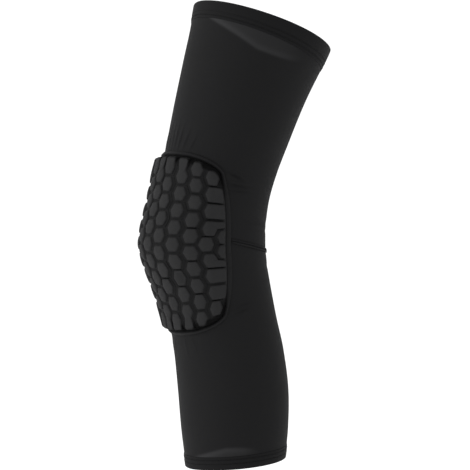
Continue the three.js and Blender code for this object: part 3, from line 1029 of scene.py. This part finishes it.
def honeycomb(draft):
    outline = lineRound(padEdge, pad["outlineSteps"])
    coarse = lineRound(padEdge, pad["coarseSteps"])
    topEdge = lineRound(cellEdge, pad["coarseSteps"])
    for spec in cellColumns:
        for column in sorted({spec["column"], -spec["column"]}):
            for row in sorted({sign * r for r in spec["rows"] for sign in (1, -1)}):
                parts, fields = cellShapes(column, row, spec)
                nudge = nudges.get((abs(column), abs(row)), 0) * (1 if column > 0 else -1)
                height = row * cells["rowPitch"] + nudgedUp.get((abs(column), row), 0)
                middle = np.array([column * cells["columnPitch"] - nudge, height])
                parts = [clipped(np.asarray(part) + middle, topEdge) for part in parts]
                fields = [clipped(np.asarray(field) + middle, coarse) for field in fields]
                parts = [part for part in parts if len(part) > 2]
                fields = [field for field in fields if len(field) > 2]
                if parts:
                    addCell(parts, fields, outline, draft, settled.get((column, row), 0))


def addCell(parts, fields, outline, draft, lowered):
    middle = np.mean(parts[0], axis=0)
    count = cells["points"]
    angles = evenAngles(parts, middle, count)
    rays = np.stack([np.cos(angles), np.sin(angles)], axis=-1)
    edge = reachOf(parts, middle, angles, cells["rounding"])
    foot = reachOf(fields, middle, angles, cells["footRounding"])
    foot = np.maximum(foot, edge + cells["leastGroove"])
    flat = np.maximum(edge - cells["bevel"], edge * cells["leastFlat"])
    pressed = eased(*cells["pressed"], foot - edge)
    top = cells["top"] - cells["uneven"] * random.random() - lowered
    tilt = random.normal(0, cells["tilt"], 2)
    ground = floorLift(middle + rays * foot[:, None], outline)
    # painted shade on the face of a settled cell
    faceDark = lowered * cells["settledDark"]
    places, lifts, paintedShade = [middle], [top + cells["crown"] - sideDrop(middle)], [faceDark]
    for kind, share, value in cellRings(top):
        if kind == "face":
            radius, lift, depth = flat * share, np.full(count, value), faceDark
        elif kind == "bevel":
            radius, lift = mix(flat, edge, share), np.full(count, value)
            # painted shade on the rounded edge as it turns down
            depth = cells["bevelDark"] * share ** 3
        else:
            radius, lift = mix(edge, foot, share), ground + (top - cells["bevel"] - ground) * value
            # painted shade down the wall, black where the groove is pressed shut
            depth = mix(cells["bevelDark"] + cells["wallDark"] * share ** 0.5, 1.0, pressed)
        place = middle + rays * radius[:, None]
        if kind == "wall":
            depth = grooveShade(place, depth, outline)
        elif kind == "bevel":
            depth = np.maximum(depth, cells["seamDark"] * share ** 2 * seamShade(place, outline))
        if kind != "wall":
            lift = lift + (place - middle) @ tilt
        lift = np.maximum(lift - sideDrop(place), np.minimum(lift, ground))
        places.extend(place)
        lifts.extend(lift)
        paintedShade.extend(np.broadcast_to(depth, count))
    # the ring at the foot is black with painted shade
    places.extend(middle + rays * foot[:, None])
    lifts.extend(np.full(count, pad["clearance"] + cells["footLift"]))
    paintedShade.extend([1.0] * count)
    places = np.array(places)
    start = len(draft["points"])
    draft["points"].extend(padPoint(places, np.array(lifts)))
    draft["paintedShade"].extend(paintedShade)
    rings = (len(places) - 1) // count
    for k in range(count):
        after = (k + 1) % count
        addFace(draft, places, start, (0, 1 + k, 1 + after))
        for ring in range(rings - 1):
            low = 1 + ring * count
            addFace(draft, places, start, (low + k, low + count + k, low + count + after, low + after))
    last = 1 + (rings - 1) * count
    addFace(draft, places, start, tuple(last + k for k in reversed(range(count))))


def addFace(draft, places, start, loop):
    draft["faces"].append(tuple(start + k for k in loop))
    draft["corners"].extend(places[k] for k in loop)


# The sheet under the cells: rings of the outline shrunk towards its middle, on both faces
def addSheet(draft):
    outline = lineRound(padEdge, pad["outlineSteps"])
    shares = pad["sheetRings"]
    places = [outline * share for share in shares] + [outline * share for share in reversed(shares)]
    lifts = [floorLift(place, outline) - pad["sheetDrop"] for place in places[:len(shares)]]
    lifts += [np.full(len(outline), pad["clearance"])] * len(shares)
    places = np.array(places)
    start = len(draft["points"])
    draft["points"].extend(padPoint(places, np.array(lifts)).reshape(-1, 3))
    # painted shade on the sheet, black in the seam at the ends
    draft["paintedShade"].extend(grooveShade(places, pad["sheetDark"], outline).ravel())
    flatPlaces = places.reshape(-1, 2)
    count = len(outline)
    rings = len(places)
    for ring in range(rings):
        after = (ring + 1) % rings
        for k in range(count):
            beside = (k + 1) % count
            loop = (ring * count + k, ring * count + beside, after * count + beside, after * count + k)
            addFace(draft, flatPlaces, start, loop)


def hexPadPiece():
    draft = {"points": [], "faces": [], "corners": [], "paintedShade": []}
    honeycomb(draft)
    addSheet(draft)
    return meshOf("hexPad", draft["points"], draft["faces"], draft["corners"], {"paintedShade": draft["paintedShade"]})


hexPad = fitted(hexPadPiece(), "padCloth", "hex_pad")

# Border: the sleeve's welt, stitched down round the pad
border = {
    "width": 5.0,
    "sideCrest": 0.95,
    "endCrest": 1.8,
    "crestPlace": 2.6,     # where the welt is highest, from the pad's edge
    "sideSpread": 2.6,     # how broad the welt is, at the pad's sides and at its ends
    "endSpread": 1.5,
    "sideFlange": 0.4,     # the strip under the welt
    "sideSlope": 1.3,      # it climbs by this much towards the pad
    "slopeShare": 0.9,
    "endFlange": 0.1,
    "outerDrop": 0.2,
    "profileSteps": 16,
    "creases": [25.6, 6.0, -10.0, -27.0],   # pressed grooves that run on across the border, by height
    "creaseDepth": 0.7,
    "creaseWidth": 0.7,
    "innerDark": 1.2,      # shade beside the pad, over innerReach
    "innerReach": 1.6,
    "outerDark": 0.6,      # shade at the outer edge, from outerFrom to outerTo short of it
    "outerFrom": 0.9,
    "outerTo": 0.3,
}


def padBorder():
    outline = lineRound(padEdge, pad["outlineSteps"])
    across = np.linspace(0, 1, border["profileSteps"])
    distance = sleeve["gap"] + across * border["width"]
    fromInner = distance - sleeve["gap"]
    share = endShare(outline[:, 1])[:, None]
    crest = swell(fromInner - border["crestPlace"], mix(border["sideSpread"], border["endSpread"], share))
    rise = mix(border["sideCrest"], border["endCrest"], share) * crest
    creases = sum(swell(outline[:, 1] - height, border["creaseWidth"]) for height in border["creases"])
    slope = np.clip(1 - across / border["slopeShare"], 0, 1)
    flange = mix(border["sideFlange"] + border["sideSlope"] * slope, border["endFlange"], share)
    over = pad["clearance"] + flange + rise - border["creaseDepth"] * creases[:, None] * crest
    over[:, -1] -= border["outerDrop"]
    # painted shade along the welt's inner and outer edges, at the pad's ends
    inner = np.clip(border["innerDark"] - fromInner / border["innerReach"], 0, 1)[None, :]
    toOuter = border["width"] - fromInner
    outer = eased(border["outerFrom"], border["outerTo"], toOuter)[None, :] * border["outerDark"]
    paintedShade = np.concatenate([inner * share + outer * share, np.zeros_like(over)], axis=1)
    under = np.full_like(over, pad["clearance"])
    places = np.stack([grown(outline, d) for d in np.concatenate([distance, distance[::-1]])], axis=1)
    lifts = np.concatenate([over, under], axis=1)
    closed = np.concatenate([places, places[:1]])
    closed = np.concatenate([closed, closed[:, :1]], axis=1)
    return ringMesh("padBorder", padPoint(places, lifts), closed, {"paintedShade": paintedShade})


fitted(padBorder(), "borderCloth", "pad_border")

# Seam behind the knee: a flat joint of two edges with thread over it
seam = {
    "width": 4.2,
    "low": 0.3,
    "thickness": 0.85,
    "fromPad": 0.45,       # how dark the groove is beside the pad, against its middle behind the knee
    "darkReach": (0.1, 0.6),   # turns from the pad between which it gets darker
    "grooveWidth": 0.14,
    "taperSteps": 3,
    "steps": 160,
    "stitchPitch": 1.5,
    "stitchStart": 1.2,
    "stitchLean": 0.5,
    "stitchInset": 0.2,
    "stitchLift": 0.6,
    "stitchArch": 0.1,
    "stitchSteps": 6,
    "threadRadius": 0.17,
    # place across in half widths, and lift in thicknesses
    "profile": [
        (-1.0, 0.0), (-0.97, 0.3), (-0.8, 0.6), (-0.5, 0.8), (-0.25, 0.75), (-0.06, 0.15),
        (0.06, 0.15), (0.25, 0.7), (0.5, 0.75), (0.8, 0.55), (0.97, 0.25), (1.0, 0.0),
    ],
}


def seamSpan():
    side = (padEdge["halfAround"] + sleeve["gap"] + border["width"]) * pad["spread"]
    start = (side + sleeve["gap"]) / leg["kneeHalfDepth"]
    return start, 2 * math.pi - start


def backSeam():
    start, end = seamSpan()
    turn = np.linspace(start, end, seam["steps"])
    level = cutHeight(turn, cuts["kneeSeam"])
    half = seam["width"] / 2
    profile = seam["profile"]
    points = []
    for k, (t, z) in enumerate(zip(turn, level)):
        # the seam thins out at both ends
        taper = min(1, (k + 0.3) / seam["taperSteps"], (seam["steps"] - k - 0.7) / seam["taperSteps"])
        for across, lift in profile:
            out = seam["low"] + lift * seam["thickness"] * taper + slackLift(t, z)
            points.append(legPoint(t, z + across * half, out))
    count = len(profile)
    away = np.minimum(turn - start, end - turn)
    # painted shade down the middle groove, lighter beside the pad
    deep = mix(seam["fromPad"], 1.0, eased(*seam["darkReach"], away))
    groove = np.array([swell(across, seam["grooveWidth"]) for across, lift in profile])
    paintedShade = deep[:, None] * groove[None, :]
    faces = []
    for k in range(seam["steps"] - 1):
        for j in range(count):
            after = (j + 1) % count
            faces.append((k * count + j, (k + 1) * count + j, (k + 1) * count + after, k * count + after))
    faces.append(tuple(range(count)))
    last = (seam["steps"] - 1) * count
    faces.append(tuple(last + j for j in reversed(range(count))))
    corners = [(0.0, 0.0)] * sum(len(face) for face in faces)
    return meshOf("backSeam", points, faces, corners, {"paintedShade": paintedShade})


def seamStitches():
    start, end = seamSpan()
    radius = leg["kneeHalfDepth"]
    count = int((end - start) * radius / seam["stitchPitch"]) - 2
    turn = start + (np.arange(count) + seam["stitchStart"]) * seam["stitchPitch"] / radius
    steps = np.linspace(-1, 1, seam["stitchSteps"])
    turns = turn[:, None] + steps[None, :] * seam["stitchLean"] / radius
    level = cutHeight(turns, cuts["kneeSeam"]) + steps[None, :] * (seam["width"] / 2 - seam["stitchInset"])
    arch = seam["stitchLift"] + seam["stitchArch"] * np.cos(steps * math.pi)
    lift = seam["low"] + seam["thickness"] * arch[None, :]
    centres = legPoint(turns, level, lift + slackLift(turns, level))
    return threadMesh("seamStitches", centres, outward(turns), seam["threadRadius"])


fitted(backSeam(), "seamCloth", "back_seam")
fitted(seamStitches(), "thread")

# Studio: white surroundings, a pale floor well below, and one soft light from the front left
studio = {
    "surround": 0.95,      # light that the white surroundings give
    "backdrop": 1.12,      # how bright they look
    "floorHeight": -620.0,
    "floorHalf": 6000.0,
    "floorColour": (0.9, 0.9, 0.9, 1),
    "floorRough": 0.9,
    "floorGlow": 0.3,      # keeps the floor as pale as the backdrop
    "keyPower": 37.0,
    "keySize": 1.6,
    "keyPlace": (-0.8, -2.45, 0.7),
}
world = bpy.data.worlds.new("studio")
bpy.context.scene.world = world
world.use_nodes = True
surround = world.node_tree.nodes["Background"]
seen = addNode(world.node_tree, "LightPath")
brightness = addNode(world.node_tree, "MapRange")
world.node_tree.links.new(seen.outputs["Is Camera Ray"], brightness.inputs["Value"])
setInputs(brightness, {"To Min": studio["surround"], "To Max": studio["backdrop"]})
world.node_tree.links.new(brightness.outputs["Result"], surround.inputs["Strength"])
surround.inputs["Color"].default_value = (1, 1, 1, 1)

floorMaterial = bpy.data.materials.new("floor")
floorMaterial.use_nodes = True
floorShader = floorMaterial.node_tree.nodes["Principled BSDF"]
setInputs(floorShader, {"Base Color": studio["floorColour"], "Roughness": studio["floorRough"]})
setInputs(floorShader, {"Emission Color": (1, 1, 1, 1), "Emission Strength": studio["floorGlow"]})
far = studio["floorHalf"]
floorCorners = [(x * far, y * far, studio["floorHeight"]) for x, y in ((-1, -1), (1, -1), (1, 1), (-1, 1))]
floor = meshOf("floor", floorCorners, [(0, 1, 2, 3)])
floor.data.materials.append(floorMaterial)

key = bpy.data.lights.new("key", "AREA")
key.energy = studio["keyPower"]
key.size = studio["keySize"]
keyLight = bpy.data.objects.new("key", key)
keyLight.location = studio["keyPlace"]
keyLight.rotation_euler = (-Vector(studio["keyPlace"])).to_track_quat("-Z", "Y").to_euler()
bpy.context.scene.collection.objects.link(keyLight)

# Camera: 60 degrees round from the front, a little above, so that a pixel is a millimetre at the knee
view = {
    "azimuth": 60.0,
    "elevation": 1.5,
    "distance": 2400.0,
    "imageSide": 470,
    "sensor": 36.0,
    "aimRight": 29.3,      # the knee's middle stands this far left of the picture's middle
    "aimUp": 9.4,
    "near": 0.1,           # in metres, what the camera sees between
    "far": 30.0,
}
azimuth = math.radians(view["azimuth"])
elevation = math.radians(view["elevation"])
toward = Vector((
    math.sin(azimuth) * math.cos(elevation),
    -math.cos(azimuth) * math.cos(elevation),
    math.sin(elevation),
))
right = Vector((math.cos(azimuth), math.sin(azimuth), 0))
up = toward.cross(right)
aim = right * view["aimRight"] + up * view["aimUp"]
cameraData = bpy.data.cameras.new("camera")
cameraData.sensor_width = view["sensor"]
cameraData.lens = view["sensor"] * view["distance"] / view["imageSide"]
cameraData.clip_start = view["near"]
cameraData.clip_end = view["far"]
camera = bpy.data.objects.new("camera", cameraData)
camera.location = (aim + toward * view["distance"]) * mm
camera.rotation_euler = toward.to_track_quat("Z", "Y").to_euler()
bpy.context.scene.collection.objects.link(camera)
bpy.context.scene.camera = camera
bpy.context.scene.view_settings.view_transform = "Standard"
